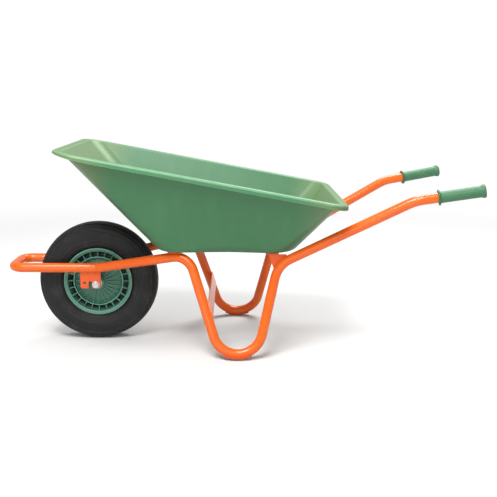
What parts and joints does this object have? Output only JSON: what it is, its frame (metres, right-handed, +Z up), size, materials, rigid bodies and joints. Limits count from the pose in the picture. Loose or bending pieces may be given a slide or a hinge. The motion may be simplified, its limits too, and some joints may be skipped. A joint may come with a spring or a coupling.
{
  "type": "wheelbarrow",
  "caption": "Single-wheel garden barrow: bent orange tube frame, deep green plastic tray, ribbed pneumatic tyre on a plastic rim, looped legs and moulded grips.",
  "frame": {"origin": "on the ground, under the middle of the overall length and width", "axes": "+X from the wheel to the handles, +Z up, -Y is the left hand of the person who pushes"},
  "size_m": [1.4354, 0.59, 0.6285],
  "materials": {
    "tray_green_plastic": "moulded polyethylene, fine grain",
    "rim_green_plastic": "moulded plastic, slight sheen",
    "grip_green_plastic": "soft moulded plastic",
    "orange_frame_paint": "glossy powder coat",
    "zinc_plated_steel": "bright zinc",
    "tyre_rubber": "satin black rubber",
    "black_rubber": "satin",
    "black_plastic": "satin",
    "white_plastic": "natural nylon"
  },
  "bodies": {
    "frame": {"axle_bolt": "zinc_plated_steel", "axle_bracket_left": "orange_frame_paint", "axle_bracket_right": "orange_frame_paint", "axle_nut": "zinc_plated_steel", "axle_spacer_left": "zinc_plated_steel", "axle_spacer_right": "zinc_plated_steel", "axle_washers": "zinc_plated_steel", "foot_shoe_left": "orange_frame_paint", "foot_shoe_right": "orange_frame_paint", "front_bow": "orange_frame_paint", "front_cross_strap": "orange_frame_paint", "grip_left": "grip_green_plastic", "grip_right": "grip_green_plastic", "leg_brace": "orange_frame_paint", "rear_cross_strap": "orange_frame_paint", "side_rail_left": "orange_frame_paint", "side_rail_right": "orange_frame_paint", "tray": "tray_green_plastic", "tray_bolts": "zinc_plated_steel", "tray_gusset_left": "orange_frame_paint", "tray_gusset_right": "orange_frame_paint", "tray_nuts": "zinc_plated_steel", "tray_washers": "zinc_plated_steel"},
    "wheel": {"rim_half_left": "rim_green_plastic", "rim_half_right": "rim_green_plastic", "hub_bush_left": "white_plastic", "hub_bush_right": "white_plastic", "tyre": "tyre_rubber", "inner_tube": "black_rubber", "valve_stem": "black_rubber", "valve_cap": "black_plastic"}
  },
  "joints": [
    {"name": "wheel_spin", "type": "hinge", "parent": "frame", "child": "wheel", "pos_m": [-0.4407, 0, 0.1905], "axis": [0, 1, 0], "continuous": true}
  ]
}
